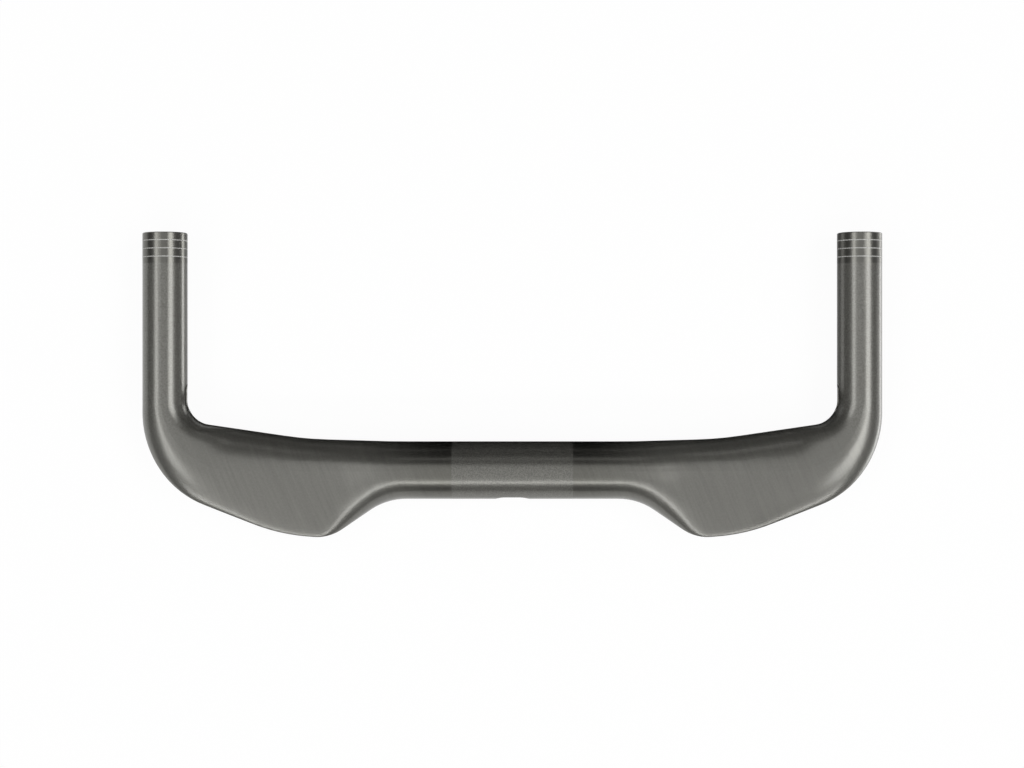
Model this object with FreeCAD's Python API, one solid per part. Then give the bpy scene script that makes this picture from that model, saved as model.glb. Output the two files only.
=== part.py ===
# Bullhorn base bar: one hollow moulding with a round stem seat in the middle, a flat palm wing on each side
# and a round horn that runs level and forward from each wing.
# Frame: origin at the middle of the stem seat, +X along the seat, +Y forward along the horns, +Z up.
# All lengths are millimetres.
import FreeCAD, Part

import math
import os

from FreeCAD import Vector

# Stem seat
SEAT_DIAMETER = 31.8
SEAT_LENGTH = 116.0
SEAT_WALL = 3.0
SEAT_SEAM_TURN = 157.5

# Horns
HORN_SPACING = 384.0
HORN_DIAMETER = 24.7
HORN_WALL = 2.35
HORN_REACH = 131.0
HORN_RIM_BREAK = 0.4

# Bend of the centre line, from the seat's line into the horn's line
BEND_RADIUS = 40.0

# Front edge seen from above; each run is measured from the seat's end
FRONT_START_RUN = 8.0
FRONT_BREAK_RUN = 56.0
FRONT_BREAK_Y = 17.3
FRONT_BREAK_RADIUS = 200.0
FRONT_CORNER_Y = 26.9
FRONT_CORNER_RADIUS = 13.8

# Rear edge seen from above: the ramp off the seat, the wing's tip, its tail and the outside of the bend
RAMP_RUN = 11.4
RAMP_RADIUS = 35.0
TIP_RUN = 42.3
TIP_Y = -37.0
TIP_RADIUS = 24.0
TAIL_RUN = 69.5
TAIL_Y = -35.1
TAIL_RADIUS = 106.0
REAR_CORNER_Y = -5.2
REAR_CORNER_RADIUS = 54.5

# Heights and walls of the wing
WING_TOP = 12.2
WING_BOTTOM = -10.0
WING_WALL = 2.2
WING_FULL_RUN = 52.0
TAIL_HEIGHT = 7.6
TAIL_LIFT_RUN = 22.0
TAIL_FILL = 9.0

# How far the ends of a section's quarters are pulled to their corner: an ellipse, then the wing's thin tail
# edge, its long top slope, its flatter underside, and the full shoulder on the inside of the bend
ROUND_PULL = 2 - math.sqrt(2)
ROUND_WEIGHT = (1 + math.sqrt(2)) / 3
TAIL_EDGE_PULL = 0.17
TAIL_TOP_PULL = 0.62
TAIL_UNDER_PULL = 0.44
SHOULDER_PULL = 0.86

# Cable slots: one at the back of the seat, and one on the inner side of each horn
REAR_SLOT_LENGTH = 17.8
REAR_SLOT_HEIGHT = 10.0
HORN_SLOT_LENGTH = 15.0
HORN_SLOT_HEIGHT = 7.0
HORN_SLOT_Y = 40.1
SLOT_EDGE_RADIUS = 0.6
CUT_PAST = 2.0

# Spacing of the sections along the centre line: close for the smooth outside, wider for the hollow
SKIN_STEP = 3.5
HOLLOW_STEP = 10.5

SEAT_RADIUS = SEAT_DIAMETER / 2
SEAT_HALF = SEAT_LENGTH / 2
HORN_RADIUS = HORN_DIAMETER / 2
HORN_X = HORN_SPACING / 2
BEND_START_X = HORN_X - BEND_RADIUS
HORN_START_Y = BEND_RADIUS

ALONG_BAR = Vector(1, 0, 0)
FORWARD = Vector(0, 1, 0)
ORIGIN = Vector(0, 0, 0)


def mix(a, b, share):
    return a + (b - a) * share


def ease(value, low, high):
    """0 below low, 1 above high, and a smooth S between them."""
    t = min(max((value - low) / (high - low), 0.0), 1.0)
    return t * t * t * (t * (6 * t - 15) + 10)


def both_sides(shape):
    return [shape, shape.mirror(ORIGIN, ALONG_BAR)]


def rounded_path(points, radii):
    """Straight runs through the points, with a tangent arc of the given radius at each inner corner."""
    edges = []
    start = points[0]
    for before, corner, after, radius in zip(points, points[1:], points[2:], radii):
        arriving = (corner - before).normalize()
        leaving = (after - corner).normalize()
        half_turn = arriving.getAngle(leaving) / 2
        run = radius * math.tan(half_turn)
        arc_start = corner - arriving * run
        arc_end = corner + leaving * run
        inward = (leaving - arriving).normalize()
        arc_middle = corner + inward * (radius / math.cos(half_turn) - radius)
        edges.append(Part.LineSegment(start, arc_start).toShape())
        edges.append(Part.Arc(arc_start, arc_middle, arc_end).toShape())
        start = arc_end
    edges.append(Part.LineSegment(start, points[-1]).toShape())
    return Part.Wire(edges)


def front_edge():
    inner_x = HORN_X - HORN_RADIUS
    points = [
        Vector(0, SEAT_RADIUS, 0),
        Vector(SEAT_HALF + FRONT_START_RUN, SEAT_RADIUS, 0),
        Vector(SEAT_HALF + FRONT_BREAK_RUN, FRONT_BREAK_Y, 0),
        Vector(inner_x, FRONT_CORNER_Y, 0),
        Vector(inner_x, HORN_REACH, 0),
    ]
    return rounded_path(points, [FRONT_BREAK_RADIUS, FRONT_BREAK_RADIUS, FRONT_CORNER_RADIUS])


def rear_edge():
    outer_x = HORN_X + HORN_RADIUS
    points = [
        Vector(0, -SEAT_RADIUS, 0),
        Vector(SEAT_HALF + RAMP_RUN, -SEAT_RADIUS, 0),
        Vector(SEAT_HALF + TIP_RUN, TIP_Y, 0),
        Vector(SEAT_HALF + TAIL_RUN, TAIL_Y, 0),
        Vector(outer_x, REAR_CORNER_Y, 0),
        Vector(outer_x, HORN_REACH, 0),
    ]
    return rounded_path(points, [RAMP_RADIUS, TIP_RADIUS, TAIL_RADIUS, REAR_CORNER_RADIUS])


def reach_to(edge, centre, direction, far):
    """How far a plan edge lies from centre in a direction."""
    ray = Part.LineSegment(centre, centre + direction * far).toShape()
    on_edge = edge.distToShape(ray)[1][0][0]
    return on_edge.distanceToPoint(centre)


def section_planes(step):
    """Each section's centre, its direction towards the front edge, and its share of the way round the bend."""
    straight_count = round((BEND_START_X - SEAT_HALF) / step)
    bend_count = round(BEND_RADIUS * math.pi / 2 / step)
    planes = []
    for i in range(straight_count):
        x = mix(SEAT_HALF, BEND_START_X, i / straight_count)
        planes.append((Vector(x, 0, 0), FORWARD, 0.0))
    bend_centre = Vector(BEND_START_X, BEND_RADIUS, 0)
    for i in range(bend_count + 1):
        share = i / bend_count
        angle = share * math.pi / 2
        to_front = Vector(-math.sin(angle), math.cos(angle), 0)
        planes.append((bend_centre - to_front * BEND_RADIUS, to_front, share))
    return planes


def quarter(start, corner, end, start_pull, end_pull):
    """A smooth quarter from start to end, pulled to corner at both ends: ROUND_PULL at each makes an ellipse."""
    poles = [start, mix(start, corner, start_pull), mix(end, corner, end_pull), end]
    weights = [1, ROUND_WEIGHT, ROUND_WEIGHT, 1]
    curve = Part.BSplineCurve()
    curve.buildFromPolesMultsKnots(poles, [4, 4], [0, 1], False, 3, weights)
    return curve.toShape()


def section(centre, to_front, front, rear, top, bottom, tail_height, lift, shoulder):
    """A closed section: round where lift and shoulder are 0, a flat-topped wing with a thin raised tail where
    lift is 1, and full above its nose where shoulder is 1."""
    def place(u, z):
        return centre + to_front * u + Vector(0, 0, z)

    crown = place(0, top)
    nose = place(front, 0)
    keel = place(0, bottom)
    tail = place(-rear, tail_height * lift)
    shoulder_pull = mix(ROUND_PULL, SHOULDER_PULL, shoulder)
    under_pull = mix(ROUND_PULL, TAIL_UNDER_PULL, lift)
    edge_pull = mix(ROUND_PULL, TAIL_EDGE_PULL, lift)
    top_pull = mix(ROUND_PULL, TAIL_TOP_PULL, lift)
    return Part.Wire([
        quarter(crown, place(front, top), nose, shoulder_pull, ROUND_PULL),
        quarter(nose, place(front, bottom), keel, ROUND_PULL, ROUND_PULL),
        quarter(keel, place(-rear, bottom), tail, under_pull, under_pull),
        quarter(tail, place(-rear, top), crown, edge_pull, top_pull),
    ])


def wing_sections(step, seat_wall, wing_wall, horn_wall, tail_fill):
    """Sections of the right-hand wing and bend, from the seat to the horn, drawn in by the walls."""
    front_path = front_edge()
    rear_path = rear_edge()
    sections = []
    for centre, to_front, turned in section_planes(step):
        run = centre.x - SEAT_HALF
        spread = ease(run, 0.0, WING_FULL_RUN)
        to_horn = ease(turned, 0.0, 1.0)
        lift = ease(run, TAIL_LIFT_RUN, WING_FULL_RUN) * (1 - to_horn)
        wall = mix(mix(seat_wall, wing_wall, spread), horn_wall, to_horn)
        top = mix(mix(SEAT_RADIUS, WING_TOP, spread), HORN_RADIUS, to_horn)
        bottom = mix(mix(-SEAT_RADIUS, WING_BOTTOM, spread), -HORN_RADIUS, to_horn)
        front = reach_to(front_path, centre, to_front, BEND_RADIUS)
        rear = reach_to(rear_path, centre, -to_front, HORN_X)
        sections.append(section(
            centre,
            to_front,
            front - wall,
            rear - mix(wall, tail_fill, lift),
            top - wall,
            bottom + wall,
            TAIL_HEIGHT,
            lift,
            4 * to_horn * (1 - to_horn),
        ))
    return sections


def seat(radius):
    """The round stretch for the stem, with its closing seam turned to the underside."""
    shape = Part.makeCylinder(radius, SEAT_LENGTH, Vector(-SEAT_HALF, 0, 0), ALONG_BAR)
    shape.rotate(ORIGIN, ALONG_BAR, SEAT_SEAM_TURN)
    return shape


def horn(radius):
    return Part.makeCylinder(radius, HORN_REACH - HORN_START_Y, Vector(HORN_X, HORN_START_Y, 0), FORWARD)


def outside_body():
    wing = Part.makeLoft(wing_sections(SKIN_STEP, 0.0, 0.0, 0.0, 0.0), True, False)
    return seat(SEAT_RADIUS).fuse(both_sides(wing) + both_sides(horn(HORN_RADIUS)))


def hollow_body():
    """The space inside the walls. It is out of sight in the wing, so straight runs join its sections."""
    sections = wing_sections(HOLLOW_STEP, SEAT_WALL, WING_WALL, HORN_WALL, TAIL_FILL)
    wing = Part.makeLoft(sections, True, True)
    return seat(SEAT_RADIUS - SEAT_WALL).fuse(both_sides(wing) + both_sides(horn(HORN_RADIUS - HORN_WALL)))


def slot(mouth, along, inward, depth, length, height):
    """A round-ended cutter for a slot, from just outside its mouth to depth inside it."""
    start = mouth - inward * CUT_PAST
    up = Vector(0, 0, height / 2)
    first = start - along * ((length - height) / 2)
    second = start + along * ((length - height) / 2)
    tip = along * (height / 2)
    outline = Part.Wire([
        Part.LineSegment(first + up, second + up).toShape(),
        Part.Arc(second + up, second + tip, second - up).toShape(),
        Part.LineSegment(second - up, first - up).toShape(),
        Part.Arc(first - up, first - tip, first + up).toShape(),
    ])
    return Part.Face(outline).extrude(inward * (depth + CUT_PAST))


def rim_edges(bar, mouth, length, axis_point, axis, radius, wall):
    """The edges round a slot's mouth that lie on the outside of its tube."""
    rims = []
    for edge in bar.Edges:
        middle = edge.valueAt((edge.FirstParameter + edge.LastParameter) / 2)
        close = middle.distanceToPoint(mouth) < length / 2 + SLOT_EDGE_RADIUS
        outside = middle.distanceToLine(axis_point, axis) > radius - wall / 2
        if close and outside:
            rims.append(edge)
    return rims


def cut_slots(bar):
    """Cut the cable slots and round the edges of their mouths."""
    rear_mouth = Vector(0, -SEAT_RADIUS, 0)
    rear_slot = slot(rear_mouth, ALONG_BAR, FORWARD, SEAT_RADIUS, REAR_SLOT_LENGTH, REAR_SLOT_HEIGHT)
    horn_mouth = Vector(HORN_X - HORN_RADIUS, HORN_SLOT_Y, 0)
    horn_slot = slot(horn_mouth, FORWARD, ALONG_BAR, HORN_RADIUS, HORN_SLOT_LENGTH, HORN_SLOT_HEIGHT)
    bar = bar.cut([rear_slot] + both_sides(horn_slot))
    rims = rim_edges(bar, rear_mouth, REAR_SLOT_LENGTH, ORIGIN, ALONG_BAR, SEAT_RADIUS, SEAT_WALL)
    for side in (1, -1):
        mouth = Vector(side * horn_mouth.x, horn_mouth.y, 0)
        axis_point = Vector(side * HORN_X, 0, 0)
        rims += rim_edges(bar, mouth, HORN_SLOT_LENGTH, axis_point, FORWARD, HORN_RADIUS, HORN_WALL)
    return bar.makeFillet(SLOT_EDGE_RADIUS, rims)


def break_horn_rims(bar):
    rims = [edge for edge in bar.Edges if edge.BoundBox.YMin > HORN_REACH - HORN_RIM_BREAK]
    return bar.makeChamfer(HORN_RIM_BREAK, rims)


def handlebar():
    return cut_slots(break_horn_rims(outside_body().cut(hollow_body())))


os.makedirs("parts", exist_ok=True)
handlebar().exportStep("parts/handlebar.step")
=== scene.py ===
import math

import bmesh
import bpy
from mathutils import Euler, Matrix, Vector


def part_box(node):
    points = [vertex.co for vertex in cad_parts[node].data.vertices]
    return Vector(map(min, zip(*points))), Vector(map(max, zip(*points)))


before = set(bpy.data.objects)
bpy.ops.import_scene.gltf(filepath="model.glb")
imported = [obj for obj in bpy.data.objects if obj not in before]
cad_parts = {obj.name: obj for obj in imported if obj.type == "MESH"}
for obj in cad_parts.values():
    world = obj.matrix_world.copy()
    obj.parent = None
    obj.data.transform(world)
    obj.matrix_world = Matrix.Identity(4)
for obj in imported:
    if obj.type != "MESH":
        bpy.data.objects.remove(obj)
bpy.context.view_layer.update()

MM = 0.001

# Places on the bar that its finish follows, and how softly each zone ends
HORN_X = 192.0 * MM
HORN_TIP_Y = 131.0 * MM
HORN_START_Y = 25.0 * MM
HORN_FADE = 20.0 * MM
HORN_BORE_RADIUS = 10.0 * MM
BORE_MARGIN = 0.3 * MM
BORE_EDGE = 0.2 * MM
BORE_START_Y = 30.0 * MM
BORE_FADE = 1.0 * MM
GRIT_HALF_WIDTH = 33.2 * MM
GRIT_EDGE = 0.3 * MM
CLEAR_HALF_WIDTH = 60.0 * MM
CLEAR_FADE = 50.0 * MM

# Bands at the horn ends, and the lines on them
BAND_LENGTH = 17.0 * MM
BAND_EDGE = 0.25 * MM
FIRST_LINE = 4.4 * MM
LINE_PITCH = 4.5 * MM
LINE_WIDTH = 0.45 * MM
LINE_EDGE = 0.2 * MM
LINE_COUNT = 3
LINES_EDGE = 0.1 * MM

# Colours, as linear light
CARBON = (0.105, 0.1035, 0.0920)
FIBRE_LIGHT = (0.129, 0.127, 0.1130)
BAND = (0.133, 0.1315, 0.1200)
LINE = (0.36, 0.36, 0.344)
BARE_LAMINATE = (0.022, 0.022, 0.021)
GRIT_DARK = (0.088, 0.087, 0.077)
GRIT_LIGHT = (0.145, 0.143, 0.128)
WHITE = (1.0, 1.0, 1.0)
FLOOR_PAINT = (0.8, 0.8, 0.8)

# Noises: grains to a metre and detail, with how far fibres are drawn out and how askew they lie
NOISE_MIDDLE = 0.5
SPECKLE = (1100.0, 2.0)
GRAINS = (1500.0, 2.0)
STREAKS = (950.0, 3.0)
STREAK_DRAW = (1.0, 26.0, 26.0)
PLIES = (260.0, 2.0)
PLY_DRAW = (1.0, 8.0, 8.0)
FIBRE_TURN = math.radians(23.0)

# Fibres and grains in the colour: the share of each noise, the light fibre's mean share, and contrasts
STREAK_SHARE = 0.55
PLY_SHARE = 0.35
SPECKLE_SHARE = 0.1
FIBRE_MEAN = 0.48
FIBRE_CONTRAST = 2.7
FIBRE_LOST_ON_HORN = 0.7
GRAIN_START = 0.35
GRAIN_CONTRAST = 3.3

# How clear the lacquer is: clear lacquer mirrors, and hazy lacquer scatters light as paint does
SATIN_CLEAR = 0.6
CLEARER_BESIDE_GRIT = 0.33
CLEARER_GRIT = 0.03
CLEARER_BAND = 0.37
CLEARER_BORE = 0.3

# Mottle in the clearness, and how much more of it the horns have
MOTTLE = 0.4
MORE_MOTTLE_ON_HORN = 0.9

# Roughness of the satin, how it changes in the zones, and the coat over it
LACQUER_IOR = 1.95
SATIN_ROUGHNESS = 0.3
SMOOTHER_BAND = 0.02
ROUGHER_LINES = 0.3
ROUGHER_BORE = 0.35
COAT_WEIGHT = 0.25
COAT_ROUGHNESS = 0.15
COAT_LOST_ON_GRIT = 0.7

# Relief under the lacquer and on the grit
LACQUER_RELIEF = 0.03
GRIT_RELIEF = 0.5
RELIEF_STRENGTH = 0.5
RELIEF_DEPTH = 0.12 * MM

# Floor: the rays that see it as white, that white's level and share, and half the floor's width
RAYS_THAT_SEE_WHITE = ("Camera", "Glossy", "Transmission")
FLOOR_WHITE = 1.0
FLOOR_GLOW = 0.95
FLOOR_HALF = 60.0

# Cards on the floor before the wings: name, left, right, near and far edges, lift off the floor, level
FLOOR_CARDS = (
    ("black_card", -0.176, 0.176, 0.018, 1.2, 0.3 * MM, 0.0),
    ("left_grey_card", -0.176, -0.158, 0.045, 0.140, 0.6 * MM, 0.55),
    ("right_grey_card", 0.160, 0.176, 0.045, 0.140, 0.6 * MM, 0.3),
)

# Lit cards that stand on the floor: name, X, near and far edges, height, side they face, and level
CARD_SPREAD = math.radians(90.0)
BOUNCE_CARDS = (
    ("left_inner_card", -0.148, 0.044, 0.140, 12.0 * MM, -1, 2.0),
    ("right_inner_card", 0.150, 0.044, 0.140, 19.0 * MM, 1, 0.3),
    ("right_outer_card", 0.2245, -0.030, 0.140, 13.0 * MM, -1, 1.65),
)

# Studio lamps: name, lean towards +X and +Y and span along X and Y in degrees, and level
LAMP_DISTANCE = 6.0
LAMP_SPREAD = math.radians(180.0)
FILL_LEVEL = 0.03
SOFTBOXES = (
    ("top_box", -9.5, -10.0, 49.0, 68.0, 0.99),
    ("left_strip", -37.5, -3.0, 16.0, 46.0, 3.7),
    ("right_strip", 37.0, -3.5, 24.0, 45.0, 4.9),
    ("rear_strip", 0.0, -49.0, 80.0, 8.0, 6.2),
    ("front_left_strip", -2.3, 47.0, 4.0, 8.0, 1.2),
    ("front_right_strip", 9.0, 47.0, 12.0, 9.0, 0.75),
    ("left_fill", -65.0, -12.0, 44.0, 70.0, 0.16),
    ("right_fill", 68.0, -12.0, 44.0, 70.0, 0.24),
    ("rear_fill", 0.0, -70.0, 80.0, 30.0, 0.15),
)

# Camera: straight above the bar, as far off as the photograph's perspective shows
CAMERA_X = -0.16 * MM
CAMERA_Y = 47.6 * MM
CAMERA_HEIGHT = 1.09
LENS = 69.3
SENSOR = 36.0


class Wire:
    """One output of a node. Arithmetic on wires adds Math nodes to their tree."""

    def __init__(self, nodes, socket):
        self.nodes = nodes
        self.socket = socket

    def math(self, operation, *values):
        return self.nodes.add("ShaderNodeMath", {"operation": operation}, dict(enumerate(values)))

    def __add__(self, other):
        return self.math("ADD", self, other)

    def __sub__(self, other):
        return self.math("SUBTRACT", self, other)

    def __rsub__(self, other):
        return self.math("SUBTRACT", other, self)

    def __mul__(self, other):
        return self.math("MULTIPLY", self, other)

    def __abs__(self):
        return self.math("ABSOLUTE", self)

    __radd__ = __add__
    __rmul__ = __mul__

    def wrapped(self, pitch):
        return self.math("FLOORED_MODULO", self, pitch)

    def over(self, edge, softness):
        """1 where this value is above edge and 0 where it is below, over a soft step."""
        return self.nodes.add(
            "ShaderNodeMapRange",
            {"interpolation_type": "SMOOTHSTEP"},
            {"Value": self, "From Min": edge - softness / 2, "From Max": edge + softness / 2},
        )

    def under(self, edge, softness):
        return 1 - self.over(edge, softness)


class Nodes:
    """The node tree of a material or a world."""

    def __init__(self, owner):
        owner.use_nodes = True
        self.tree = owner.node_tree
        self.tree.nodes.clear()

    def add(self, kind, settings, inputs, output=0):
        node = self.tree.nodes.new(kind)
        for name, value in settings.items():
            setattr(node, name, value)
        for name, value in inputs.items():
            if isinstance(value, Wire):
                self.tree.links.new(value.socket, node.inputs[name])
            else:
                node.inputs[name].default_value = value
        return Wire(self, node.outputs[output]) if node.outputs else node

    def place(self):
        """Object coordinates, whole and as x, y and z."""
        point = self.add("ShaderNodeTexCoord", {}, {}, "Object")
        axes = [self.add("ShaderNodeSeparateXYZ", {}, {"Vector": point}, axis) for axis in "XYZ"]
        return point, axes

    def distance(self, x, z):
        """Distance from an axis along Y, from the offsets across it."""
        across = self.add("ShaderNodeCombineXYZ", {}, {"X": x, "Z": z})
        return self.add("ShaderNodeVectorMath", {"operation": "LENGTH"}, {0: across}, "Value")

    def blend(self, share, first, second):
        settings = {"data_type": "RGBA", "clamp_factor": True}
        inputs = {0: share, 6: as_colour(first), 7: as_colour(second)}
        return self.add("ShaderNodeMix", settings, inputs, 2)

    def noise(self, point, grain, draw=(1.0, 1.0, 1.0), turn=0.0):
        scale, detail = grain
        mapping = {"Vector": point, "Rotation": (0.0, 0.0, turn), "Scale": draw}
        turned = self.add("ShaderNodeMapping", {"vector_type": "TEXTURE"}, mapping)
        return self.add("ShaderNodeTexNoise", {}, {"Vector": turned, "Scale": scale, "Detail": detail})

    def bump(self, height, strength, distance):
        return self.add("ShaderNodeBump", {}, {"Height": height, "Strength": strength, "Distance": distance})

    def glow(self, level):
        return self.add("ShaderNodeEmission", {}, {"Color": as_colour(WHITE), "Strength": level})

    def finish(self, shader, kind="ShaderNodeOutputMaterial"):
        self.add(kind, {}, {"Surface": shader})


def as_colour(value):
    return value if isinstance(value, Wire) else (*value, 1.0)


def band_lines(from_tip):
    """1 on the evenly spaced lines round a horn's end, and 0 elsewhere."""
    into_lines = from_tip - (FIRST_LINE - LINE_PITCH / 2)
    to_line = abs(into_lines.wrapped(LINE_PITCH) - LINE_PITCH / 2)
    begun = into_lines.over(0.0, LINES_EDGE)
    not_ended = into_lines.under(LINE_PITCH * LINE_COUNT, LINES_EDGE)
    return begun * not_ended * to_line.under(LINE_WIDTH / 2, LINE_EDGE)


def carbon_finish():
    """Satin moulded carbon, with grit where the stem clamps and lined bands at the horn ends."""
    material = bpy.data.materials.new("satin_carbon")
    nodes = Nodes(material)
    point, (x, y, z) = nodes.place()
    aside = abs(x)
    from_tip = HORN_TIP_Y - y
    from_horn_axis = nodes.distance(aside - HORN_X, z)

    # Zones of the bar, each 1 inside and 0 outside
    on_horn = y.over(HORN_START_Y, HORN_FADE)
    grit = aside.under(GRIT_HALF_WIDTH, GRIT_EDGE)
    beside_grit = aside.under(CLEAR_HALF_WIDTH, CLEAR_FADE) * (1 - grit)
    band = from_tip.under(BAND_LENGTH, BAND_EDGE)
    lines = band_lines(from_tip)
    near_axis = from_horn_axis.under(HORN_BORE_RADIUS + BORE_MARGIN, BORE_EDGE)
    bore = near_axis * y.over(BORE_START_Y, BORE_FADE)

    # Fibres that lie askew on the wings, a fine speckle that is stronger on the horns, and the grit's grains
    streaks = nodes.noise(point, STREAKS, STREAK_DRAW, FIBRE_TURN)
    plies = nodes.noise(point, PLIES, PLY_DRAW, FIBRE_TURN)
    speckle = nodes.noise(point, SPECKLE)
    grains = nodes.noise(point, GRAINS)
    fibre = streaks * STREAK_SHARE + plies * PLY_SHARE + speckle * SPECKLE_SHARE
    light_fibre = FIBRE_MEAN + (fibre - NOISE_MIDDLE) * (1 - on_horn * FIBRE_LOST_ON_HORN) * FIBRE_CONTRAST
    mottle = (speckle - NOISE_MIDDLE) * (MOTTLE + on_horn * MORE_MOTTLE_ON_HORN) * (1 - band)

    # Colour, with each zone painted over the one before
    colour = nodes.blend(light_fibre, CARBON, FIBRE_LIGHT)
    gritted = nodes.blend((grains - GRAIN_START) * GRAIN_CONTRAST, GRIT_DARK, GRIT_LIGHT)
    for zone, paint in ((grit, gritted), (band, BAND), (lines, LINE), (bore, BARE_LAMINATE)):
        colour = nodes.blend(zone, colour, paint)

    clear = SATIN_CLEAR + beside_grit * CLEARER_BESIDE_GRIT + grit * CLEARER_GRIT
    clear = clear + band * CLEARER_BAND + bore * CLEARER_BORE + mottle
    roughness = SATIN_ROUGHNESS - band * SMOOTHER_BAND + lines * ROUGHER_LINES + bore * ROUGHER_BORE
    relief = (speckle + streaks) * LACQUER_RELIEF + grit * grains * GRIT_RELIEF

    shader = nodes.add(
        "ShaderNodeBsdfPrincipled",
        {},
        {
            "Base Color": colour,
            "Metallic": clear * (1 - lines),
            "IOR": LACQUER_IOR,
            "Roughness": roughness,
            "Coat Weight": (1 - grit * COAT_LOST_ON_GRIT) * (1 - bore) * (1 - band) * COAT_WEIGHT,
            "Coat Roughness": COAT_ROUGHNESS,
            "Normal": nodes.bump(relief, RELIEF_STRENGTH, RELIEF_DEPTH),
        },
    )
    nodes.finish(shader)
    return material


def floor_finish():
    """A white floor that keeps a faint shadow."""
    material = bpy.data.materials.new("white_floor")
    nodes = Nodes(material)
    rays = [nodes.add("ShaderNodeLightPath", {}, {}, f"Is {ray} Ray") for ray in RAYS_THAT_SEE_WHITE]
    seen, mirrored, through = rays
    white_share = (seen + mirrored + through) * FLOOR_GLOW
    paint = nodes.add("ShaderNodeBsdfDiffuse", {}, {"Color": as_colour(FLOOR_PAINT)})
    white = nodes.glow(FLOOR_WHITE)
    nodes.finish(nodes.add("ShaderNodeMixShader", {}, {0: white_share, 1: paint, 2: white}))
    return material


def glowing(name, level):
    """A plain grey that shines by itself, so that its reflection keeps one level."""
    material = bpy.data.materials.new(name)
    nodes = Nodes(material)
    nodes.finish(nodes.glow(level))
    return material


def flat_sheet(name, left, right, near, far, height, material):
    """A level rectangle of the stage."""
    middle = Vector(((left + right) / 2, (near + far) / 2, height))
    halves = Vector(((right - left) / 2, (far - near) / 2, 1.0))
    place = Matrix.LocRotScale(middle, None, halves)
    shape = bmesh.new()
    bmesh.ops.create_grid(shape, x_segments=1, y_segments=1, size=1.0, matrix=place)
    mesh = bpy.data.meshes.new(name)
    shape.to_mesh(mesh)
    shape.free()
    mesh.materials.append(material)
    sheet = bpy.data.objects.new(name, mesh)
    bpy.context.scene.collection.objects.link(sheet)
    return sheet


def area_lamp(name, width, depth, level, place, turn, spread):
    """A soft rectangular lamp. A level of 1 is white."""
    lamp = bpy.data.lights.new(name, "AREA")
    lamp.shape = "RECTANGLE"
    lamp.size = width
    lamp.size_y = depth
    lamp.spread = spread
    lamp.energy = level * math.pi * width * depth
    holder = bpy.data.objects.new(name, lamp)
    holder.location = place
    holder.rotation_euler = turn
    bpy.context.scene.collection.objects.link(holder)
    return holder


def bounce_card(name, x, near, far, height, side, level, floor_height):
    """A small lit card that stands on the floor, faces +X or -X and shows only in reflections."""
    place = (x, (near + far) / 2, floor_height + height / 2)
    turn = (0.0, -side * math.pi / 2, 0.0)
    card = area_lamp(name, height, far - near, level, place, turn, CARD_SPREAD)
    card.visible_camera = False
    card.visible_diffuse = False


def softbox(name, lean_x, lean_y, across_x, across_y, level):
    """A large lamp that faces the bar. Leans and spans are degrees."""
    turn = Euler((-math.radians(lean_y), math.radians(lean_x), 0.0))
    place = turn.to_matrix() @ Vector((0.0, 0.0, LAMP_DISTANCE))
    width = 2 * LAMP_DISTANCE * math.tan(math.radians(across_x / 2))
    depth = 2 * LAMP_DISTANCE * math.tan(math.radians(across_y / 2))
    area_lamp(name, width, depth, level, place, turn, LAMP_SPREAD)


def floor():
    """The white floor under the bar, and the cards on it, which show only in reflections."""
    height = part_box("handlebar")[0].z
    flat_sheet("floor", -FLOOR_HALF, FLOOR_HALF, -FLOOR_HALF, FLOOR_HALF, height, floor_finish())
    for name, left, right, near, far, lift, level in FLOOR_CARDS:
        card = flat_sheet(name, left, right, near, far, height + lift, glowing(name, level))
        card.visible_camera = False
        card.visible_diffuse = False
        card.visible_shadow = False
        card.visible_transmission = False
    for card in BOUNCE_CARDS:
        bounce_card(*card, height)


def studio():
    """Soft lamps round the bar, and a faint even fill."""
    scene = bpy.context.scene
    scene.view_settings.view_transform = "Standard"
    scene.world = bpy.data.worlds.new("studio")
    nodes = Nodes(scene.world)
    fill = nodes.add("ShaderNodeBackground", {}, {"Color": as_colour(WHITE), "Strength": FILL_LEVEL})
    nodes.finish(fill, "ShaderNodeOutputWorld")
    for lamp in SOFTBOXES:
        softbox(*lamp)


def camera():
    lens = bpy.data.cameras.new("camera")
    lens.lens = LENS
    lens.sensor_width = SENSOR
    holder = bpy.data.objects.new("camera", lens)
    holder.location = (CAMERA_X, CAMERA_Y, CAMERA_HEIGHT)
    bpy.context.scene.collection.objects.link(holder)
    bpy.context.scene.camera = holder


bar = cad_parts["handlebar"]
bar.data.materials.clear()
bar.data.materials.append(carbon_finish())
floor()
studio()
camera()
